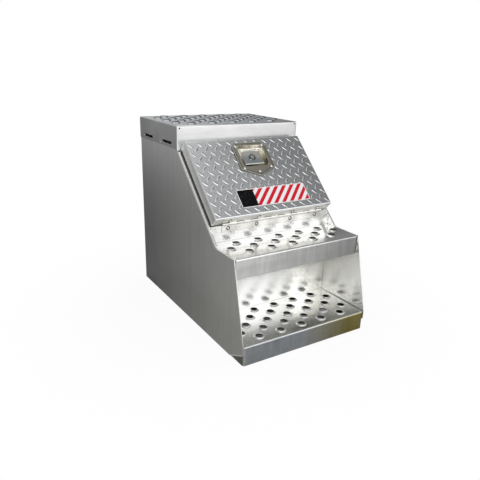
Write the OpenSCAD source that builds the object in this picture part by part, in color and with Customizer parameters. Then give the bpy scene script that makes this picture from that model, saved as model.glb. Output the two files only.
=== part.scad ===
// A truck step box: a folded sheet metal box with three steps, and a
// bottom-hinged door of diamond plate on the slope between the upper two.
// Lengths are in millimetres. +Z is up and the front faces -Y.
// The origin is at floor level under the middle of the box.

/* [Box] */
// Width over the top step
box_w = 457.2; // [420:1:520]
// Depth, from the back to the front of the lower step
box_d = 711.2; // [690:1:760]
// Height of the top step
box_h = 609.6; // [590:1:660]
// Thickness of the body sheet
sheet_t = 2; // [1.5:0.1:2.5]
// Radius of the outer bends
bend_r = 5; // [3.5:0.5:7]

/* [Steps] */
// Depth of the top step
top_d = 304; // [290:1:320]
// Height of the band at the front of the top step
fascia_h = 75; // [65:1:85]
// Height of the skirts at the sides of the top step
skirt_h = 70.6; // [60:1:74]
// Height of the middle step
mid_z = 296.8; // [280:1:310]
// Height of the lower step
low_z = 59.6; // [59.6:1:80]
// Distance from the back to the outer face of the front wall
wall_b = 510; // [500:1:520]
// Reach of the middle step in front of that wall
mid_reach = 142.6; // [125:1:160]
// Reach of the side panels in front of that wall, at the foot of the slope
foot_reach = 42.3; // [35:0.1:50]
// Height of the lip folded down at the front of a step
lip_h = 59; // [45:1:59]
// Thickness of the step sheet
step_t = 3; // [2:0.5:4]

/* [Grip holes] */
// Distance between holes along a row
hole_pitch = 76.2; // [70:0.1:90]
// Distance between rows, each set half a pitch aside
row_pitch = 36; // [34:0.5:42]
// Radius of a hole
hole_r = 11; // [8:0.5:12]
// Height of the raised rim round a hole
rim_h = 3; // [2:0.5:4]
// Width of the raised rim at its foot
rim_w = 5.5; // [4:0.5:6]
// Distance from the first row to the front of the top step
top_inset = 53; // [45:1:60]
// Distance from the first row to the front of the middle step
mid_inset = 40.6; // [30:1:45]
// Distance from the first row to the front of the lower step
low_inset = 31.7; // [28:1:40]

/* [Vents] */
// Length of a vent slot
vent_l = 75; // [60:1:90]
// Height of a vent slot
vent_h = 9; // [6:1:12]
// Depth of the slots' centre line under the top
vent_drop = 57; // [50:1:60]

/* [Door] */
// Distance from the side of the box to the door's edge
door_in = 13.1; // [11.6:0.1:25]
// Thickness of the diamond plate under its lugs
door_t = 2.5; // [2:0.5:3]
// Radius of the door's outer bends
door_bend_r = 4; // [3:0.5:5]
// Height of the door's outer face over the slope
door_top = 40; // [36:0.5:44]
// Gap between the door's folded edges and the slope
door_gap = 6; // [5:0.5:8]
// Gap between the door's upper edge and the band
door_clear = 2.1; // [1.5:0.1:5]
// Distance from the door's edge to the doorway at each side
way_in = 25.5; // [20.5:0.5:40]
// Distance from the door's lower edge to the doorway
way_low = 26; // [21:0.5:31]
// Distance from the doorway to the top of the slope
way_top = 23.8; // [20:0.1:25]
// Radius of the doorway's corners
way_r = 15; // [5:1:25]
// Width of the rubber seal round the doorway
seal_w = 12; // [8:1:14]
// How far the seal shows past the door's side edges
seal_out = 1.5; // [0.5:0.1:1.6]

/* [Diamond plate] */
// Distance between lugs across the door
lug_pitch_x = 33.8; // [30:0.1:40]
// Distance between lugs up the door
lug_pitch_s = 35.2; // [30:0.1:40]
// Length of a lug
lug_l = 24; // [18:1:28]
// Width of a lug
lug_w = 5.6; // [4:0.1:7]
// Height of a lug
lug_h = 1.4; // [0.8:0.1:2]
// Angle of a lug to the door's width
lug_a = 48; // [40:1:50]

/* [Hinge] */
// Distance from the door's edge to the end of the hinge
hinge_in = 30.5; // [20:0.5:50]
// Height of the hinge's pin over the slope
pin_o = 12.5; // [11:0.1:14]
// Outer radius of the knuckles
knuckle_r = 4; // [3.5:0.1:4.5]
// Number of knuckles on both leaves together
knuckle_n = 15; // [9:2:19]
// Gap between two knuckles
knuckle_gap = 0.5; // [0.3:0.1:1]
// Thickness of a leaf
leaf_t = 1.6; // [1.2:0.1:1.8]
// Width of a leaf from the middle of the pin
leaf_w = 25; // [20:1:26]
// Radius of the hinge pin
pin_r = 1.6; // [1.2:0.1:2]
// Distance from the middle of the pin to the rivets
rivet_off = 14; // [12:0.5:18]
// Distance from the middle of the hinge to the inner rivets
rivet_in = 63; // [50:1:80]
// Distance from the end of the hinge to the outer rivets
rivet_end = 22; // [15:1:30]

/* [Rivets] */
// Radius of a rivet's shank
shank_r = 2; // [1.5:0.1:2.4]
// Radius of a rivet's head
head_r = 4.2; // [3:0.1:5]
// Height of a rivet's head
head_h = 1.8; // [1.2:0.1:2]

/* [Latch] */
// Width of the latch's plate
latch_w = 127; // [115:1:140]
// Distance from the top of the slope to the top of the plate
latch_in = 15.8; // [13.8:0.1:22]
// Length of the plate, top edge to tip
latch_l = 130; // [120:1:140]
// Height of the plate's pointed end
latch_tip = 31; // [20:1:40]
// Size of the cut corners at the plate's top
latch_cut = 17; // [10:1:24]
// Distance from the plate's tip to the rivet above it
tip_in = 17; // [13:1:24]
// Thickness of the plate and its pocket
latch_t = 1.5; // [1:0.1:2]
// Thickness of the gasket under the plate
gasket_t = 1.5; // [1:0.1:3]
// Width of the pocket
pocket_w = 94; // [86:1:98]
// Length of the pocket up the slope
pocket_l = 80; // [74:1:84]
// Distance from the plate's top edge to the pocket
pocket_in = 12; // [10:1:14]
// Depth of the pocket under the plate
pocket_d = 24; // [22:0.5:26]
// Radius of the pocket's corners
pocket_r = 12; // [8:1:14]

/* [Paddle] */
// Width of the paddle
paddle_w = 70; // [60:1:76]
// Distance from the pin to the paddle's lower edge
paddle_l = 54; // [48:1:58]
// Thickness of the paddle
paddle_t = 2; // [1.5:0.1:2.5]
// Distance from the paddle's outer face down to the plate's face
paddle_drop = 9; // [8:0.5:11]
// Radius of the rolled lower edge
curl_r = 3; // [2:0.5:4]
// Distance from the pocket's top wall to the paddle's pin
paddle_in = 11; // [10:0.5:12]
// Radius of the paddle's pin
paddle_pin_r = 2.2; // [1.8:0.1:2.6]
// Width of the arm that works the bolt
arm_w = 12; // [8:1:14]
// Thickness of that arm
arm_t = 6; // [4:0.5:8]

/* [Lock and bolt] */
// Distance from the paddle's pin down to the lock
lock_drop = 30; // [26:1:34]
// Radius of the lock's barrel
barrel_r = 9.5; // [7:0.5:11]
// Radius of the flange on the barrel
bezel_r = 12.5; // [10:0.5:14]
// Radius of the turning plug
plug_r = 6.5; // [5:0.5:7]
// Width of the bolt
bolt_w = 20; // [16:1:24]
// Thickness of the bolt
bolt_t = 10; // [8:0.5:12]
// Reach of the bolt past the edge of the doorway
bolt_reach = 12; // [10:0.5:13]
// Travel of the bolt
bolt_travel = 14; // [13.5:0.1:15]
// Turn of the paddle that draws the bolt
paddle_turn = 30; // [28:1:32]

/* [Fits] */
// Radial clearance of a turning pin
run_fit = 0.05; // [0.02:0.01:0.1]
// Clearance of a rivet in its hole
rivet_fit = 0.1; // [0.05:0.05:0.2]
// Clearance of a sliding piece
slide_fit = 0.3; // [0.2:0.05:0.5]

/* [Hidden] */
$fn = 48;
EPS = 0.01;

// Y of a point that lies b in front of the back of the box
function by(b) = box_d / 2 - b;
foot_y = by(wall_b + foot_reach);
band_z = box_h - fascia_h;
slope_a = atan2(band_z - mid_z, by(top_d) - foot_y);
slope_l = (by(top_d) - foot_y) / cos(slope_a);
wall_y = by(wall_b);
mid_y = wall_y - mid_reach;
front_y = by(box_d);

// Outer and inner faces of the side panels, under the skirts
side_x = box_w / 2 - sheet_t;
inner_x = side_x - sheet_t;
// The side panels' folded edge beside the door
hem_w = 8;
hem_in = side_x - hem_w;

// The hinge pin lies one knuckle radius off the wall and off the door's edge
pin_y = wall_y - knuckle_r;
pin_s = (pin_y - foot_y + pin_o * sin(slope_a)) / cos(slope_a);
pin_z = mid_z + pin_s * sin(slope_a) + pin_o * cos(slope_a);
wall_top = pin_z - knuckle_r + 0.2;

// The door and the doorway fill the slope, but for their margins
door_s = pin_s + knuckle_r;
door_w = box_w - 2 * door_in;
door_l = slope_l + (door_gap * sin(slope_a) - door_clear) / cos(slope_a) - door_s;
way_w = door_w - 2 * way_in;
way_s = door_s + way_low;
way_l = slope_l - way_s - way_top;
hinge_l = door_w - 2 * hinge_in;

// Levels of the latch over the slope, and its places up it
latch_s = slope_l - latch_in;
plate_o = door_top + gasket_t;
face_o = plate_o + latch_t;
floor_o = face_o - pocket_d;
pocket_top = latch_s - pocket_in;
paddle_o = face_o - paddle_drop;
paddle_pin_s = pocket_top - paddle_in;
paddle_pin_o = paddle_o + paddle_pin_r;
lock_s = paddle_pin_s - lock_drop;

// The bolt slides under the frame, behind the strike plate
strike_t = 2;
bolt_top_o = -sheet_t - strike_t - slide_fit;
bolt_tip = way_s + way_l + bolt_reach;
tab_s = paddle_pin_s - arm_t / 2 - slide_fit;
tab_t = 6;
bolt_foot = tab_s - 3 * tab_t;
spring_l = 2 * bolt_travel + 2;

module on_slope() translate([0, foot_y, mid_z]) rotate([slope_a, 0, 0]) children();

// Places a plan drawn over X and Z so that it is extruded towards -Y
module along_y(y0, y1) translate([0, y1, 0]) rotate([90, 0, 0]) linear_extrude(y1 - y0) children();

// Places a plan drawn over Y and Z so that it is extruded along X
module along_x(x0, x1) translate([x0, 0, 0]) rotate([90, 0, 90]) linear_extrude(x1 - x0) children();

module both_sides() {
    children();
    mirror([1, 0, 0]) children();
}

// A rectangle from the origin whose corners have the radii r:
// low left, low right, high right, high left
module round_rect(w, h, r) {
    low = max(r[0], r[1]);
    high = max(r[2], r[3]);
    translate([0, low]) square([w, h - low - high]);
    for (c = [[0, 0, r[0], low], [1, 0, r[1], low], [1, 1, r[2], high], [0, 1, r[3], high]])
        if (c[3] > 0) translate([c[0] * w, c[1] * h]) mirror([c[0], 0]) mirror([0, c[1]]) {
            translate([c[2], 0]) square([w / 2 - c[2], c[3]]);
            if (c[2] > 0) translate([c[2], c[2]]) circle(c[2]);
            if (c[2] > 0 && c[3] > c[2]) translate([0, c[2]]) square([c[2], c[3] - c[2]]);
        }
}

// A block with rounded bends, as one sheet would fold round it. It is centred
// on X, runs from y0 to y1 and z0 to z1, and side, front, back and corner are
// the radii of its upper side, front and back edges and its upright corners.
module bent_block(w, y0, y1, z0, z1, side, front, back, corner, rear) {
    intersection() {
        along_y(y0, y1) translate([-w / 2, z0]) round_rect(w, z1 - z0, [0, 0, side, side]);
        along_x(-w / 2, w / 2) translate([y0, z0]) round_rect(y1 - y0, z1 - z0, [0, 0, back, front]);
        translate([-w / 2, y0, z0]) linear_extrude(z1 - z0)
            round_rect(w, y1 - y0, [corner, corner, rear, rear]);
    }
}

// Middle points of the grip holes between a step's front edge and the next wall
function grip_points(edge_y, depth, inset) = [
    for (row = [0 : floor((depth - inset - hole_r - rim_w) / row_pitch)])
        let (shift = (row % 2) * hole_pitch / 2, reach = inner_x - hole_r - rim_w - bend_r)
            for (side = [-1, 1], i = [0 : floor((reach - shift) / hole_pitch)])
                if (shift > 0 || side > 0 || i > 0)
                    [side * (shift + i * hole_pitch), edge_y + inset + row * row_pitch]
];

// The pressed rims of grip holes in a sheet of thickness t whose top is at z
module grip_rims(points, z)
    for (p = points)
        translate([p[0], p[1], z - EPS])
            cylinder(h = rim_h + EPS, r1 = hole_r + rim_w, r2 = hole_r + rim_w / 3);

module grip_holes(points, z, t) {
    lead = max(rim_w - t, 0.5);
    for (p = points) translate([p[0], p[1], z - t]) {
        translate([0, 0, -t]) cylinder(h = 3 * t + rim_h, r = hole_r);
        translate([0, 0, -EPS]) cylinder(h = rim_h * (lead + 1) / lead, r1 = hole_r + lead, r2 = hole_r - 1);
    }
}

// Centre lines of the two vent slots in each side
function vent_y() = [for (k = [1, 3]) by(top_d * k / 4)];

module vent_slots(x0, x1)
    for (y = vent_y())
        along_x(x0, x1) translate([y, box_h - vent_drop]) {
            square([vent_l - vent_h, vent_h], center = true);
            for (e = [-1, 1]) translate([e * (vent_l - vent_h) / 2, 0]) circle(vent_h / 2);
        }

// A rivet along Z whose head stands on z = 0, through a stack of thickness grip
module rivet(grip) {
    cylinder(h = head_h, r1 = head_r, r2 = head_r * 0.55);
    translate([0, 0, -grip - head_h]) {
        cylinder(h = head_h + grip + EPS, r = shank_r);
        cylinder(h = head_h, r1 = head_r * 0.6, r2 = head_r * 0.85);
    }
}

module rivet_hole(length) translate([0, 0, -length]) cylinder(h = 2 * length, r = shank_r + rivet_fit);

rivet_out = hinge_l / 2 - rivet_end;
hinge_rivets = [-rivet_out, -rivet_in, rivet_in, rivet_out];

// Turns a rivet's axis to point out of the front wall, at the lower leaf
module at_wall_rivets()
    for (x = hinge_rivets) translate([x, wall_y, pin_z - rivet_off]) rotate([90, 0, 0]) children();

// The same at the upper leaf, on the door's lower folded edge
module at_door_rivets()
    on_slope() for (x = hinge_rivets) translate([x, door_s, pin_o + rivet_off]) rotate([90, 0, 0]) children();

// The rivet in each skirt, between the two slots
module at_skirt_rivets() both_sides()
    translate([box_w / 2, by(top_d * 0.585), box_h - skirt_h + head_r * 1.25]) rotate([0, 90, 0]) children();

// The strike plate's rivets, on the slope
module at_strike_rivets() on_slope()
    for (x = [-1, 1]) translate([x * bolt_w, way_s + way_l + head_r * 1.3, 0]) children();

// The outline of a side panel: Y and Z of its corners
clip_y = 71;
clip_z = 35.5;
module side_outline() polygon([
    [by(0), 0], [by(0), box_h - bend_r], [by(top_d - bend_r), box_h - bend_r],
    [by(top_d - bend_r), band_z], [by(top_d), band_z],
    [foot_y, mid_z], [mid_y, mid_z], [front_y, low_z],
    [front_y, clip_z], [front_y + clip_y, 0]
]);

// One panel, on the +X side, with an edge folded in along its slope
module side_panel() {
    s0 = bend_r * 1.2;
    len = slope_l - bend_r - s0;
    difference() {
        along_x(inner_x, side_x) side_outline();
        on_slope() translate([inner_x - 1, s0, -bend_r]) cube([2 * sheet_t, len, 2 * bend_r]);
        vent_slots(inner_x - 1, side_x + 1);
        at_skirt_rivets() rivet_hole(4 * sheet_t);
    }
    on_slope() translate([side_x - bend_r, s0 + len, -bend_r]) rotate([90, 0, 0]) linear_extrude(len) {
        translate([bend_r - hem_w, bend_r - sheet_t]) square([hem_w - bend_r, sheet_t]);
        intersection() {
            difference() {
                circle(bend_r);
                circle(bend_r - sheet_t);
            }
            translate([0, -EPS]) square(2 * bend_r);
        }
    }
}

module left_side_panel() color("#8d9092") mirror([1, 0, 0]) side_panel();

module right_side_panel() color("#8d9092") side_panel();

module back_panel() color("#85888a") along_y(by(sheet_t), by(0)) polygon([
    [-inner_x, 0], [inner_x, 0], [inner_x, box_h - bend_r], [inner_x - bend_r, box_h - sheet_t],
    [bend_r - inner_x, box_h - sheet_t], [-inner_x, box_h - bend_r]
]);

// The floor is a shallow pan whose turned-up edges stand inside the walls
floor_edge = 22;
module floor_pan() color("#7f8284") {
    y0 = wall_y + sheet_t;
    y1 = by(sheet_t);
    difference() {
        translate([-inner_x, y0, 0]) cube([2 * inner_x, y1 - y0, floor_edge]);
        translate([-inner_x + sheet_t, y0 + sheet_t, sheet_t])
            cube([2 * (inner_x - sheet_t), y1 - y0 - 2 * sheet_t, floor_edge]);
    }
}

module front_wall() color("#b9bbbc") difference() {
    shoulder = mid_z + foot_reach * tan(slope_a) - bend_r / cos(slope_a) - slide_fit;
    union() {
        translate([-inner_x, wall_y, 0]) cube([2 * inner_x, sheet_t, shoulder]);
        translate([-hem_in, wall_y, 0]) cube([2 * hem_in, sheet_t, wall_top]);
    }
    at_wall_rivets() rivet_hole(8);
}

// The sloping sheet round the doorway, with a flange folded in along each edge
frame_edge = 18;
// Z of a point at the depth y that lies d under the slope
function under(y, d) = mid_z + (y - foot_y) * tan(slope_a) - d / cos(slope_a);

module door_frame() color("#c4c6c8") {
    y0 = wall_y + sheet_t;
    y1 = by(top_d) + sheet_t;
    difference() {
        union() {
            along_x(-hem_in, hem_in) polygon([
                [y0, wall_top - 2 * frame_edge], [y0 + sheet_t, wall_top - 2 * frame_edge],
                [y0 + sheet_t, under(y0 + sheet_t, sheet_t)], [y1 + sheet_t, under(y1 + sheet_t, sheet_t)],
                [y1 + sheet_t, band_z + frame_edge], [y1, band_z + frame_edge],
                [y1, band_z], [by(top_d), band_z], [y0, under(y0, 0)]
            ]);
            both_sides() along_x(hem_in - sheet_t, hem_in) polygon([
                [y0, under(y0, frame_edge)], [y1, under(y1, frame_edge)],
                [y1, band_z], [by(top_d), band_z], [y0, under(y0, 0)]
            ]);
        }
        on_slope() translate([-way_w / 2, way_s, -5 * sheet_t]) linear_extrude(10 * sheet_t)
            round_rect(way_w, way_l, [way_r, way_r, way_r, way_r]);
        at_strike_rivets() rivet_hole(8);
        at_wall_rivets() translate([0, 0, -5 * sheet_t]) cylinder(h = 5 * sheet_t, r = head_r);
    }
}

// The top step: one sheet with a band at the front and a skirt down each side
relief_r = 2.5;
module top_step() color("#9b9ea0") {
    points = grip_points(by(top_d), top_d, top_inset);
    y0 = by(top_d);
    in_r = bend_r - sheet_t;
    difference() {
        union() {
            bent_block(box_w, y0, by(0), band_z, box_h, bend_r, bend_r, 0, bend_r, 0);
            grip_rims(points, box_h);
        }
        bent_block(box_w - 2 * sheet_t, y0 + sheet_t, by(0) + 1, band_z - 1, box_h - sheet_t,
            in_r, in_r, 0, in_r, 0);
        translate([-box_w, y0 + sheet_t + bend_r, band_z - 1]) cube([2 * box_w, box_d, fascia_h - skirt_h + 1]);
        grip_holes(points, box_h, sheet_t);
        vent_slots(-box_w, box_w);
        both_sides() translate([box_w / 2 - 2 * bend_r, y0, box_h - bend_r - relief_r])
            rotate([90, 0, 0]) cylinder(h = 4 * sheet_t, r = relief_r, center = true);
        at_skirt_rivets() rivet_hole(4 * sheet_t);
    }
}

// A lower step: tread plate with a lip and two returns folded down from it
module step_pan(edge_y, z) {
    depth = wall_y - edge_y;
    points = grip_points(edge_y, depth, edge_y == front_y ? low_inset : mid_inset);
    in_r = bend_r - step_t > 0.5 ? bend_r - step_t : 0.5;
    difference() {
        union() {
            bent_block(2 * inner_x, edge_y, wall_y, z - lip_h, z, bend_r, bend_r, 0, bend_r * 1.6, 0);
            grip_rims(points, z);
        }
        bent_block(2 * (inner_x - step_t), edge_y + step_t, wall_y + 1, z - lip_h - 1, z - step_t,
            in_r, in_r, 0, bend_r * 1.6 - step_t, 0);
        grip_holes(points, z, step_t);
    }
}

module middle_step() color("#cfd1d2") step_pan(mid_y, mid_z);

module lower_step() color("#cfd1d2") step_pan(front_y, low_z);

module skirt_rivets() color("#6d7072") at_skirt_rivets() rivet(2 * sheet_t);

// A loop of rubber on the slope, which the door's folded edges close on
module door_seal() color("#151617") on_slope() {
    w = door_w + 2 * seal_out;
    s0 = door_s + door_t + 0.5;
    len = slope_l - 0.8 - s0;
    r = way_r / 2;
    translate([-w / 2, s0, 0]) linear_extrude(door_gap - slide_fit) difference() {
        round_rect(w, len, [r, r, r, r]);
        translate([seal_w, seal_w]) round_rect(w - 2 * seal_w, len - 2 * seal_w, [r, r, r, r]);
    }
}

// The plate behind the frame that the bolt catches on
module strike_plate() color("#a8a59c") difference() {
    on_slope() translate([-1.4 * bolt_w, way_s + way_l + slide_fit, -sheet_t - strike_t])
        cube([2.8 * bolt_w, slope_l - way_s - way_l - bend_r, strike_t]);
    at_strike_rivets() rivet_hole(8);
}

module strike_rivets() color("#6d7072") at_strike_rivets() rivet(sheet_t + strike_t);

// A hinge leaf with its pin along X through the origin. It reaches up or down
// from the pin, its back is on +Y, and it has every second knuckle.
module hinge_leaf(up, first) {
    seg = hinge_l / knuckle_n;
    root = knuckle_r + knuckle_gap;
    mirror([0, 0, up ? 0 : 1]) difference() {
        union() {
            translate([-hinge_l / 2, knuckle_r - leaf_t, root]) cube([hinge_l, leaf_t, leaf_w - root]);
            for (k = [first : 2 : knuckle_n - 1])
                translate([-hinge_l / 2 + k * seg + knuckle_gap / 2, 0, 0]) {
                    rotate([0, 90, 0]) cylinder(h = seg - knuckle_gap, r = knuckle_r);
                    translate([0, knuckle_r - leaf_t, 0]) cube([seg - knuckle_gap, leaf_t, root + EPS]);
                }
        }
        rotate([0, 90, 0]) cylinder(h = hinge_l + 2, r = pin_r + run_fit, center = true);
        for (x = hinge_rivets) translate([x, 0, rivet_off]) rotate([90, 0, 0]) rivet_hole(8);
    }
}

module hinge_body_leaf() color("#c9c6bd") translate([0, pin_y, pin_z]) hinge_leaf(false, 0);

module hinge_door_leaf() color("#c9c6bd") on_slope() translate([0, pin_s, pin_o]) hinge_leaf(true, 1);

module hinge_pin() color("#9a9892")
    translate([0, pin_y, pin_z]) rotate([0, 90, 0]) cylinder(h = hinge_l, r = pin_r, center = true);

module hinge_body_rivets() color("#b5b2aa")
    at_wall_rivets() translate([0, 0, leaf_t]) rivet(leaf_t + sheet_t);

module hinge_door_rivets() color("#b5b2aa")
    at_door_rivets() translate([0, 0, leaf_t]) rivet(leaf_t + door_t);

// Steps to either side of a middle line, on it or half a step off it
function steps(reach, pitch, half) =
    let (n = floor(reach / pitch + (half ? 0.5 : 0)))
        half ? [for (i = [-n : n - 1]) (i + 0.5) * pitch] : [for (i = [-n : n]) i * pitch];

// One raised lug of the plate: the rim of a thin wheel that stands through it
module lug() {
    tube_r = (lug_w * lug_w / 4 + lug_h * lug_h) / (2 * lug_h);
    wheel_r = (lug_l * lug_l / 4 + lug_h * lug_h) / (2 * lug_h);
    half = asin(lug_l / 2 / wheel_r) + 2;
    translate([0, 0, lug_h - wheel_r]) rotate([90, half - 90, 0])
        rotate_extrude(angle = 2 * half, $fn = 2 * $fn)
            translate([wheel_r - tube_r, 0]) circle(tube_r, $fn = 24);
}

// Lugs over the door's flat face, leaning each way by turns
module lugs() {
    reach_x = door_w / 2 - door_bend_r - lug_l / 2 * cos(lug_a);
    reach_s = door_l / 2 - door_bend_r - lug_l / 2 * sin(lug_a);
    for (lean = [0, 1])
        for (x = steps(reach_x, lug_pitch_x, lean == 1))
            for (s = steps(reach_s, lug_pitch_s, lean == 0))
                translate([x, door_s + door_l / 2 + s, door_top])
                    rotate(lean == 1 ? lug_a : -lug_a) lug();
}

// The plan of the latch's plate, grown by g, and of its pocket
module latch_plan(g) {
    half = latch_w / 2 + g;
    top = latch_s + g;
    tip = latch_s - latch_l - g;
    polygon([[-half, top - latch_cut], [-half + latch_cut, top], [half - latch_cut, top],
        [half, top - latch_cut], [half, tip + latch_tip], [0, tip], [-half, tip + latch_tip]]);
}

module pocket_plan(g) {
    r = pocket_r + g;
    translate([-pocket_w / 2 - g, pocket_top - pocket_l - g])
        round_rect(pocket_w + 2 * g, pocket_l + 2 * g, [r, r, r, r]);
}

// The pocket as a block grown by g, with a scoop for the fingers at its foot
scoop_s = 18;
scoop_o = 15;
module pocket_block(g, top) {
    foot = pocket_top - pocket_l;
    slant = norm([scoop_s, scoop_o]);
    intersection() {
        translate([0, 0, floor_o - g]) linear_extrude(top - floor_o + g) pocket_plan(g);
        along_x(-pocket_w, pocket_w) polygon([
            [foot - g - EPS, top], [pocket_top + g + EPS, top], [pocket_top + g + EPS, floor_o - g],
            [foot + scoop_s - g * (slant - scoop_s) / scoop_o, floor_o - g],
            [foot - g - EPS, floor_o + scoop_o - g * (slant - scoop_o) / scoop_s]
        ]);
    }
}

// Middle points of the five rivets through the latch's plate
latch_points = [
    for (side = [-1, 1], s = [pocket_top - 2, pocket_top - pocket_l - 6]) [side * (pocket_w / 2 + 3), s],
    [0, latch_s - latch_l + tip_in]
];
module at_latch_rivets() on_slope()
    for (p = latch_points) translate([p[0], p[1], face_o]) children();

module at_paddle_pin() on_slope() translate([0, paddle_pin_s, paddle_pin_o]) rotate([0, 90, 0]) children();

module at_lock() on_slope() translate([0, lock_s, paddle_o]) children();

// The door: a pan folded from diamond plate
module door_skin() color("#a9afb6") difference() {
    inner_r = door_bend_r - door_t;
    on_slope() difference() {
        union() {
            bent_block(door_w, door_s, door_s + door_l, door_gap, door_top,
                door_bend_r, door_bend_r, door_bend_r, 3, 3);
            difference() {
                lugs();
                translate([0, 0, door_gap]) linear_extrude(door_top) latch_plan(slide_fit);
            }
        }
        bent_block(door_w - 2 * door_t, door_s + door_t, door_s + door_l - door_t, door_gap - 1,
            door_top - door_t, inner_r, inner_r, inner_r, 0.5, 0.5);
        translate([0, 0, door_top - 2 * door_t]) linear_extrude(4 * door_t)
            pocket_plan(latch_t + slide_fit);
    }
    at_door_rivets() rivet_hole(8);
    at_latch_rivets() rivet_hole(8);
}

module latch_gasket() color("#1b1c1d") difference() {
    on_slope() translate([0, 0, door_top]) linear_extrude(gasket_t) difference() {
        latch_plan(0);
        pocket_plan(latch_t + slide_fit);
    }
    at_latch_rivets() rivet_hole(8);
}

// The arm's slot in the pocket's floor runs from the arm at rest to its full turn
module arm_slot() {
    drop = paddle_pin_o - floor_o + latch_t;
    swing = drop * tan(paddle_turn) + arm_t / 2 / cos(paddle_turn) + 1;
    translate([-arm_w / 2 - 1, paddle_pin_s - swing, floor_o - 2 * latch_t])
        cube([arm_w + 2, swing + arm_t / 2 + 1, 4 * latch_t]);
}

module latch_dish() color("#8e8a7c") difference() {
    on_slope() difference() {
        union() {
            translate([0, 0, plate_o]) linear_extrude(latch_t) latch_plan(0);
            pocket_block(latch_t, plate_o + EPS);
        }
        pocket_block(0, face_o + 1);
        arm_slot();
    }
    at_latch_rivets() rivet_hole(8);
    at_paddle_pin() cylinder(h = 2 * pocket_w, r = paddle_pin_r + run_fit, center = true);
}

// The bent catch that the turned cam slides under, welded beside the lock
cam_o = floor_o + 1.2;
cam_t = 1.6;
cam_l = 14;
module lock_catch() color("#8e8a7c") on_slope() {
    x0 = barrel_r + 0.5;
    x1 = cam_l + 0.5;
    under = cam_o + cam_t + 0.8;
    translate([x1, lock_s - 5, floor_o]) cube([latch_t, 10, under + latch_t - floor_o]);
    translate([x0, lock_s - 5, under]) cube([x1 - x0 + latch_t, 10, latch_t]);
}

module latch_rivets() color("#c8c8c4") at_latch_rivets() rivet(latch_t + gasket_t + door_t);

module paddle_pin() color("#a5a39b")
    at_paddle_pin() cylinder(h = pocket_w, r = paddle_pin_r, center = true);

// The paddle hangs on its pin by a loop at each end, and its arm works the bolt
loop_w = 12;
arm_foot_o = paddle_pin_o - bolt_travel * 180 / (PI * paddle_turn) - 1;
module paddle() color("#b3b0a4") difference() {
    on_slope() {
        translate([-paddle_w / 2, paddle_pin_s - paddle_l, paddle_o - paddle_t])
            cube([paddle_w, paddle_l + arm_t / 2, paddle_t]);
        translate([0, paddle_pin_s - paddle_l, paddle_o - paddle_t / 2])
            rotate([0, 90, 0]) cylinder(h = paddle_w, r = curl_r, center = true);
        for (side = [-1, 1]) translate([side * (paddle_w - loop_w) / 2, paddle_pin_s, paddle_pin_o])
            rotate([0, 90, 0]) cylinder(h = loop_w, r = paddle_pin_r + run_fit + paddle_t, center = true);
        translate([-arm_w / 2, paddle_pin_s - arm_t / 2, arm_foot_o])
            cube([arm_w, arm_t, paddle_o - paddle_t - arm_foot_o + EPS]);
    }
    at_paddle_pin() cylinder(h = 2 * pocket_w, r = paddle_pin_r + run_fit, center = true);
    at_lock() cylinder(h = 8 * paddle_t, r = barrel_r + rivet_fit, center = true);
}

// The lock's barrel, with its flange on the paddle's face
bezel_h = 2.5;
barrel_foot = cam_o + cam_t + 0.4;
module lock_barrel() color("#c3c3c0") at_lock() difference() {
    union() {
        cylinder(h = bezel_h, r1 = bezel_r, r2 = bezel_r - 1);
        translate([0, 0, barrel_foot - paddle_o]) cylinder(h = paddle_o - barrel_foot + EPS, r = barrel_r);
    }
    cylinder(h = 4 * pocket_d, r = plug_r + run_fit, center = true);
}

nut_t = 3;
module lock_nut() color("#90908c") at_lock() translate([0, 0, -paddle_t - nut_t]) difference() {
    cylinder(h = nut_t, r = barrel_r + 4.5, $fn = 6);
    translate([0, 0, -1]) cylinder(h = nut_t + 2, r = barrel_r + rivet_fit);
}

// The plug that the key turns, with a thinner tail for the cam
tail_r = 4;
key_l = 8;
key_w = 1.4;
module lock_plug() color("#d2d2cf") at_lock() difference() {
    union() {
        translate([0, 0, cam_o + cam_t - paddle_o])
            cylinder(h = paddle_o - cam_o - cam_t + bezel_h + 0.6, r = plug_r);
        translate([0, 0, cam_o - paddle_o]) cylinder(h = cam_t + EPS, r = tail_r);
    }
    translate([-key_w / 2, -key_l / 2, bezel_h - 3]) cube([key_w, key_l, 10]);
}

module lock_cam() color("#7f7f7b") at_lock() translate([0, 0, cam_o - paddle_o]) linear_extrude(cam_t)
    difference() {
        union() {
            circle(tail_r + 2);
            translate([-2.5, 0]) square([5, cam_l]);
        }
        circle(tail_r + rivet_fit);
    }

// The sprung bolt, with a tab that the paddle's arm pushes and a slanted nose
tab_top_o = floor_o - latch_t - 1.5;
module latch_bolt() color("#b8b8b2") on_slope() {
    low = bolt_top_o - bolt_t;
    along_x(-bolt_w / 2, bolt_w / 2) polygon([
        [bolt_foot, low], [bolt_tip - bolt_reach, low], [bolt_tip, bolt_top_o - 2],
        [bolt_tip, bolt_top_o], [bolt_foot, bolt_top_o]
    ]);
    translate([-arm_w / 2 + 0.5, tab_s - tab_t, bolt_top_o - EPS])
        cube([arm_w - 1, tab_t, tab_top_o - bolt_top_o + EPS]);
}

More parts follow.
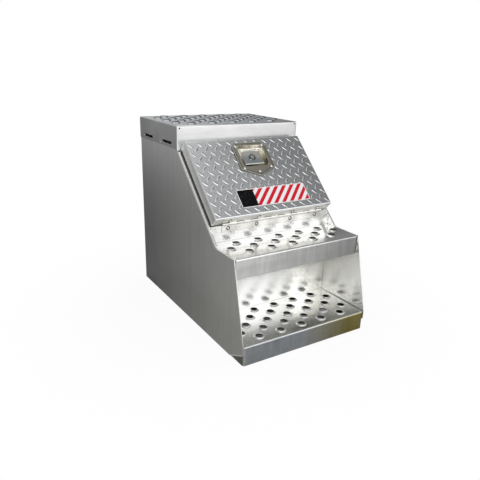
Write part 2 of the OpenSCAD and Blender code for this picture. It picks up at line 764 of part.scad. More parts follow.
// A channel welded under the pocket that guides the bolt and backs its spring
wall = 2.5;
module bolt_housing() color("#9d9b92") on_slope() {
    s0 = bolt_foot - spring_l - wall;
    len = paddle_pin_s + 5 - s0;
    low = bolt_top_o - bolt_t - slide_fit;
    half = bolt_w / 2 + slide_fit;
    roof = floor_o - latch_t;
    translate([-half - wall, s0, low - wall]) cube([2 * (half + wall), len, wall]);
    translate([-half - wall, s0, low - wall]) cube([2 * (half + wall), wall, roof - low + wall - pocket_r / 2]);
    both_sides() {
        translate([half, s0, low - wall]) cube([wall, len, roof - low + wall]);
        translate([arm_w / 2 + 0.5, s0, bolt_top_o + slide_fit]) cube([half - arm_w / 2, len, wall]);
    }
}

// A coil of round wire along Z, from z = 0 to its length
module coil(length, coil_r, wire_r, turns) {
    sides = 8;
    per_turn = 16;
    n = turns * per_turn;
    points = [for (i = [0 : n], j = [0 : sides - 1])
        let (t = 360 * i / per_turn, f = 360 * j / sides, r = coil_r + wire_r * cos(f))
            [r * cos(t), r * sin(t), wire_r + (length - 2 * wire_r) * i / n + wire_r * sin(f)]];
    around = [for (i = [0 : n - 1], j = [0 : sides - 1])
        let (a = i * sides + j, b = i * sides + (j + 1) % sides) [a, b, b + sides, a + sides]];
    ends = [[for (j = [sides - 1 : -1 : 0]) j], [for (j = [0 : sides - 1]) n * sides + j]];
    polyhedron(points, concat(around, ends));
}

module bolt_spring() color("#8f8f8a") on_slope()
    translate([0, bolt_foot - spring_l + 0.2, bolt_top_o - bolt_t / 2]) rotate([-90, 0, 0])
        coil(spring_l - 0.4, bolt_t * 0.36, 0.6, 8);

left_side_panel();
right_side_panel();
back_panel();
floor_pan();
front_wall();
door_frame();
top_step();
middle_step();
lower_step();
skirt_rivets();
door_seal();
strike_plate();
strike_rivets();
hinge_body_leaf();
hinge_pin();
hinge_body_rivets();
door_skin();
hinge_door_leaf();
hinge_door_rivets();
latch_dish();
lock_catch();
latch_gasket();
latch_rivets();
bolt_housing();
paddle_pin();
bolt_spring();
paddle();
lock_barrel();
lock_nut();
latch_bolt();
lock_plug();
lock_cam();
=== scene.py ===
import math
import random

import bmesh
import bpy
from mathutils import Matrix, Vector


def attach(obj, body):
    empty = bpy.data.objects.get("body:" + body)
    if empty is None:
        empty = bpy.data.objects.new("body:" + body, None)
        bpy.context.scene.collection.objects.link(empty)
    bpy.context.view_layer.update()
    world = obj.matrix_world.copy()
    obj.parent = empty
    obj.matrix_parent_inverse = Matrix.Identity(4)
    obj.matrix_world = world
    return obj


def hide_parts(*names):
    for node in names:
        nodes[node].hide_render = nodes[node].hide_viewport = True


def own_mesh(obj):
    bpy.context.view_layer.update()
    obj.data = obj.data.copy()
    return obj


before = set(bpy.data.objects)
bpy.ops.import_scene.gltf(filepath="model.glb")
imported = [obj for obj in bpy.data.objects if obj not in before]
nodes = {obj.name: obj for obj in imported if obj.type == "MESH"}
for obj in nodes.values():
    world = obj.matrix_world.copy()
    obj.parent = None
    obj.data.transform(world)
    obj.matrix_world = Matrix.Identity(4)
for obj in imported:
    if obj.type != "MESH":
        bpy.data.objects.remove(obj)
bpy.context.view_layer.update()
print("frame loaded:", len(nodes), "nodes")

# The box's own measures, in metres, as in the part's source
box = {
    "innerX": 0.2246,
    "frontY": -0.3556,
    "midY": -0.2970,
    "bandY": 0.0516,
    "topZ": 0.6096,
    "midZ": 0.2968,
    "lowZ": 0.0596,
    "clipY": 0.071,
    "clipZ": 0.0355,
    "footY": -0.1967,
    "slope": math.radians(43.76257530),
    "doorFace": 0.040,
    "lugTop": 0.0414,
}
slopeCos = math.cos(box["slope"])
slopeSin = math.sin(box["slope"])


def onSlope(x, up, out):
    # x across, up the slope from its foot, out from its face
    return Vector((x, box["footY"] + up * slopeCos - out * slopeSin,
                   box["midZ"] + up * slopeSin + out * slopeCos))


def addObject(name, data):
    thing = bpy.data.objects.new(name, data)
    bpy.context.scene.collection.objects.link(thing)
    return thing


# From the photo's own vanishing lines
cameraView = {
    "place": (-0.8628, -1.3340, 0.7825),
    "right": (0.85105822, -0.52431962, 0.02808639),
    "down": (-0.15139782, -0.29625958, -0.94303179),
    "forward": (0.50277094, 0.79832274, -0.331515),
    "lens": 36.914,
    "sensor": 36,
    "nearest": 0.01,
}


def buildCamera():
    data = bpy.data.cameras.new("camera")
    data.lens = cameraView["lens"]
    data.sensor_width = cameraView["sensor"]
    data.clip_start = cameraView["nearest"]
    camera = addObject("camera", data)
    axes = Matrix((cameraView["right"], [-v for v in cameraView["down"]],
                   [-v for v in cameraView["forward"]])).transposed()
    camera.matrix_world = Matrix.Translation(cameraView["place"]) @ axes.to_4x4()
    bpy.context.scene.camera = camera


buildCamera()
bpy.context.scene.view_settings.view_transform = "Standard"
bpy.context.scene.cycles.glossy_bounces = 10  # light goes to and fro between the wings
print("camera set")


# Node helpers
def newNode(tree, kind, **settings):
    node = tree.nodes.new(kind)
    for name, value in settings.items():
        setattr(node, name, value)
    return node


def plug(tree, source, target):
    tree.links.new(source, target)


def feed(tree, socket, value):
    # value is a socket to link or a plain number or colour
    if isinstance(value, bpy.types.NodeSocket):
        tree.links.new(value, socket)
    elif isinstance(value, (tuple, list)) and len(value) == 3 and socket.type == "RGBA":
        socket.default_value = (*value, 1)
    else:
        socket.default_value = value


def mathNode(tree, kind, a, b=None, clamp=False):
    node = newNode(tree, "ShaderNodeMath", operation=kind, use_clamp=clamp)
    feed(tree, node.inputs[0], a)
    if b is not None:
        feed(tree, node.inputs[1], b)
    return node.outputs[0]


def plus(tree, a, b):
    return mathNode(tree, "ADD", a, b)


def minus(tree, a, b):
    return mathNode(tree, "SUBTRACT", a, b)


def times(tree, a, b):
    return mathNode(tree, "MULTIPLY", a, b)


def larger(tree, a, b):
    return mathNode(tree, "MAXIMUM", a, b)


def absolute(tree, a):
    return mathNode(tree, "ABSOLUTE", a)


def vectorNode(tree, kind, a, b):
    node = newNode(tree, "ShaderNodeVectorMath", operation=kind)
    feed(tree, node.inputs[0], a)
    feed(tree, node.inputs[1], b)
    return node


def scaleColor(tree, color, factor):
    node = newNode(tree, "ShaderNodeVectorMath", operation="SCALE")
    plug(tree, color, node.inputs[0])
    plug(tree, factor, node.inputs["Scale"])
    return node.outputs[0]


noiseMiddle = 0.5  # what a noise swings about


def noise(tree, vector, scale, detail=2.0, roughness=0.5):
    node = newNode(tree, "ShaderNodeTexNoise")
    plug(tree, vector, node.inputs["Vector"])
    feed(tree, node.inputs["Scale"], scale)
    node.inputs["Detail"].default_value = detail
    node.inputs["Roughness"].default_value = roughness
    return node.outputs["Fac"]


def spread(tree, value, low, high, outLow=0.0, outHigh=1.0, smooth=False):
    node = newNode(tree, "ShaderNodeMapRange", interpolation_type="SMOOTHSTEP" if smooth else "LINEAR")
    for socket, number in zip(node.inputs, (value, low, high, outLow, outHigh)):
        feed(tree, socket, number)
    return node.outputs[0]


def mixNumber(tree, factor, a, b):
    return spread(tree, factor, 0, 1, a, b)


def mixColor(tree, factor, a, b, blend="MIX"):
    node = newNode(tree, "ShaderNodeMix", data_type="RGBA", blend_type=blend)
    feed(tree, node.inputs[0], factor)
    feed(tree, node.inputs[6], a)
    feed(tree, node.inputs[7], b)
    return node.outputs[2]


def addBump(tree, shader, height, strength, depth, normal=None):
    bump = newNode(tree, "ShaderNodeBump")
    bump.inputs["Strength"].default_value = strength
    bump.inputs["Distance"].default_value = depth
    plug(tree, height, bump.inputs["Height"])
    if normal:
        plug(tree, normal, bump.inputs["Normal"])
    plug(tree, bump.outputs[0], shader.inputs["Normal"])


def newGroup(name, inputs, outputs):
    group = bpy.data.node_groups.new(name, "ShaderNodeTree")
    for label, kind, value in inputs:
        socket = group.interface.new_socket(label, in_out="INPUT", socket_type=kind)
        socket.default_value = value
    for label, kind in outputs:
        group.interface.new_socket(label, in_out="OUTPUT", socket_type=kind)
    return group, newNode(group, "NodeGroupInput").outputs, newNode(group, "NodeGroupOutput").inputs


def placeGroup(tree, group, **values):
    node = newNode(tree, "ShaderNodeGroup", node_tree=group)
    for label, value in values.items():
        feed(tree, node.inputs[label.replace("_", " ")], value)
    return node.outputs


# Places and directions on the object
def objectCoords(tree):
    return newNode(tree, "ShaderNodeTexCoord").outputs["Object"]


def splitAxes(tree, vector):
    node = newNode(tree, "ShaderNodeSeparateXYZ")
    plug(tree, vector, node.inputs[0])
    return node.outputs


def turnCoords(tree, vector, turn, stretch):
    mapping = newNode(tree, "ShaderNodeMapping")
    plug(tree, vector, mapping.inputs["Vector"])
    mapping.inputs["Rotation"].default_value = turn
    mapping.inputs["Scale"].default_value = stretch
    return mapping.outputs[0]


def placeAlong(tree, axis, low, high):
    return spread(tree, splitAxes(tree, objectCoords(tree))[axis], low, high)


def heightAbove(tree, level):
    return minus(tree, splitAxes(tree, objectCoords(tree))["Z"], level)


def fromMiddle(tree):
    # How far out to the left or the right
    return absolute(tree, splitAxes(tree, objectCoords(tree))["X"])


def alongSlope(tree):
    # Places on the slope: across, up it, and out from it
    coords = objectCoords(tree)
    up = vectorNode(tree, "DOT_PRODUCT", coords, (0, slopeCos, slopeSin)).outputs["Value"]
    out = vectorNode(tree, "DOT_PRODUCT", coords, (0, -slopeSin, slopeCos)).outputs["Value"]
    return (splitAxes(tree, coords)["X"],
            minus(tree, up, box["footY"] * slopeCos + box["midZ"] * slopeSin),
            minus(tree, out, -box["footY"] * slopeSin + box["midZ"] * slopeCos))


facing = {"from": 0.5, "full": 0.95}


def facingMask(tree, axis, sign, full=facing["full"]):
    # How far the face points along a world axis
    normal = newNode(tree, "ShaderNodeNewGeometry").outputs["Normal"]
    return spread(tree, splitAxes(tree, normal)[axis], sign * facing["from"], sign * full)


def fadeColor(tree, axis, ends, first, last):
    # From one colour to another between two places along an axis
    return mixColor(tree, placeAlong(tree, axis, *ends), first, last)


# Effects that several materials use
rolledLook = {
    "grain": (700.0, 3.0, 0.6),  # a noise's size, detail and roughness
    "bands": (90.0, 2.0, 0.5),
    "clouds": (4.0, 0.55),  # the finish gives their size
    "grainShare": 0.6,
    "bandShare": 0.4,
    "grainRough": 0.5,
    "cloudRough": -0.6,
}


def buildRolledSheet():
    # Mill grain in one direction, with clouds over it
    group, given, out = newGroup(
        "rolledSheet",
        [("Color", "NodeSocketColor", (0.7, 0.7, 0.7, 1)), ("Stretch", "NodeSocketVector", (1, 1, 1)),
         ("Grain", "NodeSocketFloat", 0.1), ("Clouds", "NodeSocketFloat", 0.1),
         ("Cloud Size", "NodeSocketFloat", 8.0), ("Roughness", "NodeSocketFloat", 0.3)],
        [("Color", "NodeSocketColor"), ("Roughness", "NodeSocketFloat"), ("Height", "NodeSocketFloat")])
    coords = objectCoords(group)
    along = vectorNode(group, "MULTIPLY", coords, given["Stretch"]).outputs[0]
    grain = noise(group, along, *rolledLook["grain"])
    bands = noise(group, along, *rolledLook["bands"])
    cloud = noise(group, coords, given["Cloud Size"], *rolledLook["clouds"])
    streak = plus(group, times(group, grain, rolledLook["grainShare"]),
                  times(group, bands, rolledLook["bandShare"]))
    offStreak = times(group, minus(group, streak, noiseMiddle), given["Grain"])
    offCloud = times(group, minus(group, cloud, noiseMiddle), given["Clouds"])
    gain = plus(group, 1.0, plus(group, offStreak, offCloud))
    plug(group, scaleColor(group, given["Color"], gain), out["Color"])
    offRough = plus(group, times(group, offStreak, rolledLook["grainRough"]),
                    times(group, offCloud, rolledLook["cloudRough"]))
    plug(group, mathNode(group, "ADD", given["Roughness"], offRough, clamp=True), out["Roughness"])
    plug(group, streak, out["Height"])
    return group


scratchLook = {
    # Each slant's turn, stretch and size of patches
    "slants": (((0.3, 0.5, 0.7), (1, 22, 9), 14.0), ((1.1, -0.6, 2.2), (1, 26, 12), 19.0)),
    "lines": (1.0, 0.4),  # detail and roughness
    "width": 0.006,
    "patchDetail": 2.0,
    "patch": (0.5, 0.62),
}


def buildScratches():
    # Sparse fine scratches at two slants
    group, given, out = newGroup(
        "scratches", [("Size", "NodeSocketFloat", 60.0), ("Amount", "NodeSocketFloat", 0.3)],
        [("Mask", "NodeSocketFloat")])
    coords = objectCoords(group)
    masks = []
    for turn, stretch, patchSize in scratchLook["slants"]:
        field = noise(group, turnCoords(group, coords, turn, stretch), given["Size"], *scratchLook["lines"])
        line = absolute(group, minus(group, field, noiseMiddle))
        thin = spread(group, line, 0.0, scratchLook["width"], 1.0, 0.0)
        patch = noise(group, coords, patchSize, scratchLook["patchDetail"])
        patch = spread(group, patch, *scratchLook["patch"])
        masks.append(times(group, thin, patch))
    plug(group, times(group, larger(group, *masks), given["Amount"]), out["Mask"])
    return group


edgeLook = {"radius": 0.0009, "samples": 4, "turned": (0.998, 0.86)}


def buildSoftEdge():
    # The small rounding that a cut or folded edge has, and where it lies
    group, given, out = newGroup(
        "softEdge", [("Amount", "NodeSocketFloat", 1.0)],
        [("Mask", "NodeSocketFloat"), ("Normal", "NodeSocketVector")])
    bevel = newNode(group, "ShaderNodeBevel", samples=edgeLook["samples"])
    bevel.inputs["Radius"].default_value = edgeLook["radius"]
    flat = newNode(group, "ShaderNodeNewGeometry").outputs["Normal"]
    turned = vectorNode(group, "DOT_PRODUCT", bevel.outputs[0], flat).outputs["Value"]
    plug(group, times(group, spread(group, turned, *edgeLook["turned"]), given["Amount"]), out["Mask"])
    plug(group, bevel.outputs[0], out["Normal"])
    return group


creviceShadeLook = {"samples": 6, "grain": (45.0, 3.0), "patch": (0.3, 0.7, 0.5, 1.0), "shut": (0.9, 0.45)}


def buildCreviceShade():
    # Painted shade from ambient occlusion, patchy like dirt, round rivet heads, lugs and seams
    group, given, out = newGroup(
        "creviceShade", [("Reach", "NodeSocketFloat", 0.002), ("Amount", "NodeSocketFloat", 0.5)],
        [("Mask", "NodeSocketFloat")])
    openness = newNode(group, "ShaderNodeAmbientOcclusion", samples=creviceShadeLook["samples"])
    feed(group, openness.inputs["Distance"], given["Reach"])
    patchy = spread(group, noise(group, objectCoords(group), *creviceShadeLook["grain"]), *creviceShadeLook["patch"])
    shut = spread(group, openness.outputs["AO"], *creviceShadeLook["shut"])
    plug(group, times(group, times(group, shut, patchy), given["Amount"]), out["Mask"])
    return group


rolledSheet = buildRolledSheet()
creviceShade = buildCreviceShade()
scratches = buildScratches()
softEdge = buildSoftEdge()
print("shared effects built")


# Materials
def newMaterial(name):
    material = bpy.data.materials.new(name)
    material.use_nodes = True
    tree = material.node_tree
    return material, tree, tree.nodes["Principled BSDF"]


metal = {
    "scratchColor": (0.92, 0.92, 0.91),
    "scratchSize": 60.0,
    "scratchRough": 0.2,
    "edgeHighlightColor": (0.93, 0.93, 0.92),
    "shadeGrimeColor": (0.10, 0.095, 0.085),
    "reach": 0.0022,
    "shadeAndGrime": 0.5,
    "bump": 0.10,
    "bumpDepth": 0.0002,
}


def metalMaterial(name, finish, color=None, rough=None, edge=None):
    # color, rough and edge may be functions that build their sockets in the same tree
    material, tree, shader = newMaterial(name)
    color, rough, edge = (make(tree) if make else None for make in (color, rough, edge))
    sheet = placeGroup(tree, rolledSheet, Color=color or finish["color"], Stretch=finish["stretch"],
                       Grain=finish["grain"], Clouds=finish["clouds"], Cloud_Size=finish["cloudSize"],
                       Roughness=rough or finish["rough"])
    marks = placeGroup(tree, scratches, Size=metal["scratchSize"], Amount=finish["scratch"])["Mask"]
    edges = placeGroup(tree, softEdge, Amount=edge or finish["edge"])
    shadeAndGrime = placeGroup(tree, creviceShade, Reach=finish.get("reach", metal["reach"]),
                       Amount=finish.get("shadeAndGrime", metal["shadeAndGrime"]))["Mask"]
    brightened = mixColor(tree, marks, sheet["Color"], metal["scratchColor"])
    # Painted highlight along the rounded edges
    brightened = mixColor(tree, edges["Mask"], brightened, metal["edgeHighlightColor"])
    # Painted shade, patchy like dirt, where crevices are shut in
    plug(tree, mixColor(tree, shadeAndGrime, brightened, metal["shadeGrimeColor"]), shader.inputs["Base Color"])
    scratched = plus(tree, sheet["Roughness"], times(tree, marks, metal["scratchRough"]))
    plug(tree, scratched, shader.inputs["Roughness"])
    shader.inputs["Metallic"].default_value = 1.0
    addBump(tree, shader, sheet["Height"], metal["bump"], metal["bumpDepth"], edges["Normal"])
    return material


finishes = {
    "innerSheet": {"color": (0.62, 0.625, 0.62), "rough": 0.36, "stretch": (1, 1, 0.03), "grain": 0.12,
                   "clouds": 0.15, "cloudSize": 6.0, "scratch": 0.10, "edge": 0.4},
    "rivetAlloy": {"color": (0.74, 0.74, 0.72), "rough": 0.30, "stretch": (1, 1, 1), "grain": 0.10,
                   "clouds": 0.20, "cloudSize": 60.0, "scratch": 0.05, "edge": 0.6},
    "latchRivet": {"color": (0.94, 0.94, 0.90), "rough": 0.36, "stretch": (1, 1, 1), "grain": 0.05,
                   "clouds": 0.10, "cloudSize": 60.0, "scratch": 0.05, "edge": 0.4, "shadeAndGrime": 0.2},
    "lockRing": {"color": (0.16, 0.165, 0.17), "rough": 0.16, "stretch": (1, 1, 1), "grain": 0.05,
                 "clouds": 0.30, "cloudSize": 90.0, "scratch": 0.20, "edge": 0.5},
    "lockChrome": {"color": (0.80, 0.80, 0.78), "rough": 0.12, "stretch": (1, 1, 1), "grain": 0.05,
                   "clouds": 0.20, "cloudSize": 60.0, "scratch": 0.10, "edge": 0.6},
    "platedSteel": {"color": (0.60, 0.60, 0.56), "rough": 0.34, "stretch": (1, 1, 1), "grain": 0.12,
                    "clouds": 0.25, "cloudSize": 30.0, "scratch": 0.15, "edge": 0.5},
}

# The middle and the lower step, folded from polished sheet
steps = {
    "polished": (0.835, 0.835, 0.83),
    "treadBack": (0.69, 0.69, 0.685),
    "treadFront": (0.96, 0.96, 0.95),
    "treadFade": (-0.215, -0.275),
    "lipLeft": (0.99, 0.99, 0.98),
    "lipRight": (0.41, 0.415, 0.41),
    "lipFade": (-0.2, 0.2),
    "seam": (0.22, 0.22, 0.22),
    "seamIn": (0.0058, 0.0046),
    "lowLipLeft": (0.53, 0.555, 0.585),
    "lowLipRight": (0.37, 0.315, 0.11),
    "lowLipFade": (-0.02, 0.16),
    "lowLipEnd": (0.68, 0.69, 0.68),
    "lowLipEndFade": (-0.217, -0.219),
    "lowRim": (0.98, 0.98, 0.97),
    "stepEnd": (0.26, 0.27, 0.235),
    "rimRise": 0.0002,
    "holeWall": (0.12, 0.12, 0.12),
    "wallLean": (0.2, 0.7),
    "wallDepth": 0.004,
    "wallFromFront": 0.012,
    "wallFromEnd": 0.01,
    "smearTurn": 0.5,
    "smearStretch": (1.0, 1.0, 0.22),
    "smearNoise": (50.0, 3.0, 0.6),
    "smearFade": (0.3, 0.7),
    "smearDepth": 0.11,
    "roughRim": 0.5,
    "roughTread": 0.17,
    "roughLip": 0.34,
    "finish": {"stretch": (0.03, 1, 1), "grain": 0.45, "clouds": 0.14, "cloudSize": 10.0, "scratch": 0.25,
               "edge": 0.7},
}


def rimsAbove(tree, topZ):
    # The raised rims of a step's holes
    return mathNode(tree, "GREATER_THAN", heightAbove(tree, topZ), steps["rimRise"])


def holeWalls(tree, topZ, frontY):
    # The cut walls of the grip holes, which stay in the shade
    place = splitAxes(tree, objectCoords(tree))
    normal = splitAxes(tree, newNode(tree, "ShaderNodeNewGeometry").outputs["True Normal"])
    # From upright to leaning under the rim, but not the sheet's own faces
    lean, most = steps["wallLean"]
    upright = mathNode(tree, "LESS_THAN", absolute(tree, plus(tree, normal["Z"], lean)), most)
    high = mathNode(tree, "GREATER_THAN", place["Z"], topZ - steps["wallDepth"])
    inward = mathNode(tree, "GREATER_THAN", place["Y"], frontY + steps["wallFromFront"])
    between = mathNode(tree, "LESS_THAN", fromMiddle(tree), box["innerX"] - steps["wallFromEnd"])
    return times(tree, times(tree, upright, high), times(tree, inward, between))


def middleWalls(tree):
    return holeWalls(tree, box["midZ"], box["midY"])


def lowerWalls(tree):
    return holeWalls(tree, box["lowZ"], box["frontY"])


def lipSmears(tree):
    # Slanting smears that wiping and boots leave on the lips
    coords = turnCoords(tree, objectCoords(tree), (0, steps["smearTurn"], 0), steps["smearStretch"])
    smears = noise(tree, coords, *steps["smearNoise"])
    return spread(tree, smears, *steps["smearFade"], 1 - steps["smearDepth"], 1 + steps["smearDepth"])


def treadColor(tree, top, face, walls):
    smeared = scaleColor(tree, face, lipSmears(tree))
    return mixColor(tree, walls, mixColor(tree, facingMask(tree, "Y", -1), top, smeared), steps["holeWall"])


def middleColor(tree):
    # Painted shade: the tread darker towards the back
    top = fadeColor(tree, "Y", steps["treadFade"], steps["treadBack"], steps["treadFront"])
    # Painted reflection: the lip bright on the left and darker to the right
    face = fadeColor(tree, "X", steps["lipFade"], steps["lipLeft"], steps["lipRight"])
    seam = spread(tree, fromMiddle(tree), *(box["innerX"] - inward for inward in steps["seamIn"]))
    return treadColor(tree, top, mixColor(tree, seam, face, steps["seam"]), middleWalls(tree))


def lowerColor(tree):
    # Painted reflection: the lip bluish on the left and darker olive to the right
    face = fadeColor(tree, "X", steps["lowLipFade"], steps["lowLipLeft"], steps["lowLipRight"])
    # Painted highlight on the bend at the lip's left end
    face = fadeColor(tree, "X", steps["lowLipEndFade"], face, steps["lowLipEnd"])
    # Painted highlight on the raised rims of the holes
    top = mixColor(tree, rimsAbove(tree, box["lowZ"]), steps["polished"], steps["lowRim"])
    # Painted shade on the step's ends, recessed behind the clipped corners
    ends = larger(tree, facingMask(tree, "X", 1), facingMask(tree, "X", -1))
    return treadColor(tree, mixColor(tree, ends, top, steps["stepEnd"]), face, lowerWalls(tree))


def plainEdge(tree, mask):
    # The painted edge highlight, left off where the mask is
    return mixNumber(tree, mask, steps["finish"]["edge"], 0.0)


def middleEdge(tree):
    return plainEdge(tree, middleWalls(tree))


def lowerEdge(tree):
    return plainEdge(tree, lowerWalls(tree))


def treadRough(tree):
    return mixNumber(tree, facingMask(tree, "Z", 1), steps["roughLip"], steps["roughTread"])


def lowerRough(tree):
    return mixNumber(tree, rimsAbove(tree, box["lowZ"]), treadRough(tree), steps["roughRim"])


# The top step, which caps the box
cap = {
    "top": (0.82, 0.84, 0.86),
    "rim": (0.36, 0.38, 0.41),
    "skirt": (0.48, 0.485, 0.48),
    "skirtBack": (0.33, 0.335, 0.335),
    "skirtFade": (0.33, 0.10),
    "band": (0.80, 0.80, 0.80),
    "bandRight": (0.60, 0.60, 0.60),
    "bandFade": (-0.05, 0.22),
    "finish": dict(steps["finish"], clouds=0.26, cloudSize=14.0),
}


def capColor(tree):
    # Tread, front band and skirts
    # Painted reflection: the skirts darker towards the back
    skirt = fadeColor(tree, "Y", cap["skirtFade"], cap["skirtBack"], cap["skirt"])
    side = mixColor(tree, facingMask(tree, "Z", 1), skirt, cap["top"])
    # Painted reflection: the front band darker to the right
    front = fadeColor(tree, "X", cap["bandFade"], cap["band"], cap["bandRight"])
    sheet = mixColor(tree, facingMask(tree, "Y", -1), side, front)
    # Painted shade on the raised rims of the holes
    sheet = mixColor(tree, rimsAbove(tree, box["topZ"]), sheet, cap["rim"])
    return mixColor(tree, holeWalls(tree, box["topZ"], box["bandY"]), sheet, steps["holeWall"])


def capEdge(tree):
    return plainEdge(tree, rimsAbove(tree, box["topZ"]))


frontWall = {
    "color": (0.93, 0.93, 0.92),
    "right": (0.47, 0.47, 0.44),
    "rightFade": (-0.05, 0.2),
    "top": (0.72, 0.72, 0.72),
    "topFade": (0.15, 0.235),
    "belowFade": 0.004,
    "finish": {"rough": 0.25, "stretch": (1, 1, 0.02), "grain": 0.26, "clouds": 0.12, "cloudSize": 9.0,
               "scratch": 0.10, "edge": 0.4, "reach": 0.003, "shadeAndGrime": 0.4},
}


def wallColor(tree):
    # Painted shade: darker to the right and under the middle step's lip, where its shadow falls; bright above
    # that step
    below = placeAlong(tree, "Z", box["midZ"], box["midZ"] - frontWall["belowFade"])
    right = times(tree, placeAlong(tree, "X", *frontWall["rightFade"]), below)
    shade = times(tree, placeAlong(tree, "Z", *frontWall["topFade"]), below)
    across = mixColor(tree, right, frontWall["color"], frontWall["right"])
    return mixColor(tree, shade, across, frontWall["top"], blend="MULTIPLY")


# The door's diamond plate
plate = {
    "color": (0.66, 0.67, 0.675),
    "low": (0.80, 0.815, 0.83),
    "lowFade": (0.18, 0.32),
    "right": (0.66, 0.67, 0.68),
    "rightFade": (-0.05, 0.2),
    "lug": (0.37, 0.38, 0.39),
    "lugRight": (0.33, 0.335, 0.34),
    "lugRise": (0.0002, 0.001),
    "lugRough": 0.36,
    "fold": (0.95, 0.95, 0.94),
    "foldRough": 0.40,
    "finish": {"rough": 0.27, "stretch": (0.05, 1, 1), "grain": 0.10, "clouds": 0.14, "cloudSize": 9.0,
               "scratch": 0.12, "edge": 0.9},
}


def foldMask(tree):
    # The door's folded left side, and its lower edge, which faces down the slope
    normal = newNode(tree, "ShaderNodeNewGeometry").outputs["Normal"]
    down = vectorNode(tree, "DOT_PRODUCT", normal, (0, -slopeCos, -slopeSin)).outputs["Value"]
    return larger(tree, facingMask(tree, "X", -1), spread(tree, down, facing["from"], facing["full"]))


def lugMask(tree, low=0.0, high=1.0):
    # From the plate between the lugs to the lugs
    levels = (box["doorFace"] + rise for rise in plate["lugRise"])
    return spread(tree, alongSlope(tree)[2], *levels, low, high)


def plateColor(tree):
    across = placeAlong(tree, "X", *plate["rightFade"])
    # Painted light: the sheet brighter lower down on the door
    upper = spread(tree, alongSlope(tree)[1], *plate["lowFade"], smooth=True)
    sheet = mixColor(tree, across, mixColor(tree, upper, plate["low"], plate["color"]), plate["right"])
    # Painted shade: the lugs darker than the sheet, and darker still to the right
    face = mixColor(tree, lugMask(tree), sheet, mixColor(tree, across, plate["lug"], plate["lugRight"]))
    # Painted highlight on the folded left side and the lower edge
    return mixColor(tree, foldMask(tree), face, plate["fold"])


def plateRough(tree):
    face = lugMask(tree, plate["finish"]["rough"], plate["lugRough"])
    return mixNumber(tree, foldMask(tree), face, plate["foldRough"])


latch = {
    "half": 0.0635,
    "top": 0.328,
    "cut": 0.017,
    "tip": 0.198,
    "shoulder": 0.031,
    "border": 0.0048,
    "borderFade": 0.0004,
    "plate": (0.56, 0.54, 0.455),
    "rim": (0.74, 0.72, 0.64),
    "groove": (0.16, 0.15, 0.12),
    "grooveFade": (0.0017, 0.0006),
    "pocket": (0.97, 0.95, 0.88),
    "pocketLow": (0.50, 0.45, 0.34),
    "pocketFade": (0.262, 0.296),
    "pocketFrom": (0.0012, 0.0004),
    "pocketRough": 0.40,
    "finish": {"rough": 0.20, "stretch": (0.03, 1, 1), "grain": 0.08, "clouds": 0.30, "cloudSize": 26.0,
               "scratch": 0.15, "edge": 0.6},
}


def latchPlan(grow):
    half, top, tip = latch["half"] + grow, latch["top"] + grow, latch["tip"] - grow
    cut, shoulder = latch["cut"], latch["shoulder"]
    return [(-half, top - cut), (-half + cut, top), (half - cut, top), (half, top - cut),
            (half, tip + shoulder), (0, tip), (-half, tip + shoulder)]


def pocketMask(tree, out):
    return spread(tree, out, *(box["lugTop"] + above for above in latch["pocketFrom"]))


def latchColor(tree):
    # Brown plate with a pressed border, and a pocket with painted light, brightest at its top and darker
    # lower down
    across, up, out = alongSlope(tree)
    inset = None
    outline = latchPlan(0)
    for (ax, ay), (bx, by) in zip(outline, outline[1:] + outline[:1]):
        length = math.hypot(bx - ax, by - ay)
        nx, ny = (by - ay) / length, -(bx - ax) / length
        depth = minus(tree, plus(tree, times(tree, across, nx), times(tree, up, ny)), ax * nx + ay * ny)
        inset = depth if inset is None else mathNode(tree, "MINIMUM", inset, depth)
    inner = spread(tree, inset, latch["border"], latch["border"] + latch["borderFade"])
    # Painted shade in the pressed groove along the border
    groove = spread(tree, absolute(tree, minus(tree, inset, latch["border"])), *latch["grooveFade"])
    sheet = mixColor(tree, groove, mixColor(tree, inner, latch["rim"], latch["plate"]), latch["groove"])
    pocket = mixColor(tree, spread(tree, up, *latch["pocketFade"]), latch["pocketLow"], latch["pocket"])
    return mixColor(tree, pocketMask(tree, out), sheet, pocket)


def latchRough(tree):
    pocket = pocketMask(tree, alongSlope(tree)[2])
    return mixNumber(tree, pocket, latch["finish"]["rough"], latch["pocketRough"])


paddle = {
    "top": (0.97, 0.955, 0.90),
    "low": (0.60, 0.635, 0.64),
    "fade": (0.266, 0.288),
    "slant": 0.25,
    "rollFade": (0.2425, 0.2405),
    "finish": {"rough": 0.16, "stretch": (0.03, 1, 1), "grain": 0.08, "clouds": 0.25, "cloudSize": 30.0,
               "scratch": 0.12, "edge": 0.5},
}


def paddleColor(tree):
    # Painted highlight towards its pin and on the rolled edge, darker lower down
    across, up, _ = alongSlope(tree)
    slant = plus(tree, up, times(tree, across, paddle["slant"]))
    brightened = spread(tree, slant, *paddle["fade"], smooth=True)
    face = mixColor(tree, brightened, paddle["low"], paddle["top"])
    return mixColor(tree, spread(tree, up, *paddle["rollFade"]), face, paddle["top"])


hinge = {
    "lower": (0.82, 0.81, 0.77),
    "upper": (0.97, 0.96, 0.92),
    "ring": (0.06, 0.055, 0.045),
    "ringOut": 0.0072,
    "ringIn": 0.0056,
    "rivetsX": (0.063, 0.163),
    "lowerZ": 0.33679,
    "upperOut": 0.0265,
    "finish": {"rough": 0.26, "stretch": (0.03, 1, 1), "grain": 0.12, "clouds": 0.14, "cloudSize": 20.0,
               "scratch": 0.15, "edge": 0.4, "reach": 0.004, "shadeAndGrime": 1.0},
    "upperFinish": {"rough": 0.55, "stretch": (0.03, 1, 1), "grain": 0.12, "clouds": 0.14, "cloudSize": 20.0,
                    "scratch": 0.15, "edge": 0.4},
}


